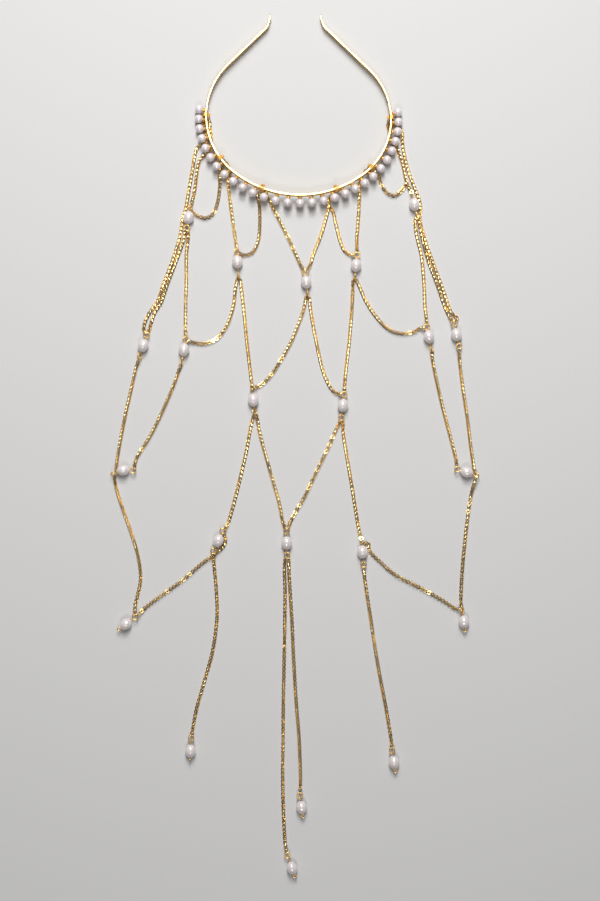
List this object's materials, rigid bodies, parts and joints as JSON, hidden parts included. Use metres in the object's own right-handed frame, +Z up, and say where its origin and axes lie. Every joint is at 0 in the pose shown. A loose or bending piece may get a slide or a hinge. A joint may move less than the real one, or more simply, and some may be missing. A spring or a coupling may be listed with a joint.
{
  "type": "tassel headband",
  "caption": "Gilt strip headband edged with round pearls, with a net of fine chains and rice pearls that hangs from it as a tassel; laid out flat.",
  "frame": {"origin": "middle of the laid-out headband, on the surface that it lies on", "axes": "+Y from the tassel's tip towards the band's ends, +X to the right as seen from above, +Z up from the surface"},
  "size_m": [0.258, 0.6025, 0.0095],
  "materials": {
    "gold": "polished gilt",
    "pearl": "pearl lustre"
  },
  "bodies": {
    "root": {"band": "gold", "pearl_posts": "gold", "chain_ties": "gold", "eye_pins": "gold", "chain_left_1": "gold", "chain_left_2": "gold", "chain_left_3": "gold", "chain_left_4": "gold", "chain_left_5": "gold", "chain_left_6": "gold", "chain_left_7": "gold", "chain_left_8": "gold", "chain_left_9": "gold", "chain_left_10": "gold", "chain_left_11": "gold", "chain_left_12": "gold", "chain_right_1": "gold", "chain_right_2": "gold", "chain_right_3": "gold", "chain_right_4": "gold", "chain_right_5": "gold", "chain_right_6": "gold", "chain_right_7": "gold", "chain_right_8": "gold", "chain_right_9": "gold", "chain_right_10": "gold", "chain_right_11": "gold", "chain_right_12": "gold", "round_pearls": "pearl", "rice_pearl_1": "pearl", "rice_pearl_2": "pearl", "rice_pearl_3": "pearl", "rice_pearl_4": "pearl", "rice_pearl_5": "pearl", "rice_pearl_6": "pearl", "rice_pearl_7": "pearl", "rice_pearl_8": "pearl", "rice_pearl_9": "pearl", "rice_pearl_10": "pearl", "rice_pearl_11": "pearl", "rice_pearl_12": "pearl", "rice_pearl_13": "pearl", "rice_pearl_14": "pearl", "rice_pearl_15": "pearl", "rice_pearl_16": "pearl", "rice_pearl_17": "pearl", "rice_pearl_18": "pearl", "rice_pearl_19": "pearl", "rice_pearl_20": "pearl", "rice_pearl_21": "pearl", "rice_pearl_22": "pearl"}
  },
  "joints": []
}
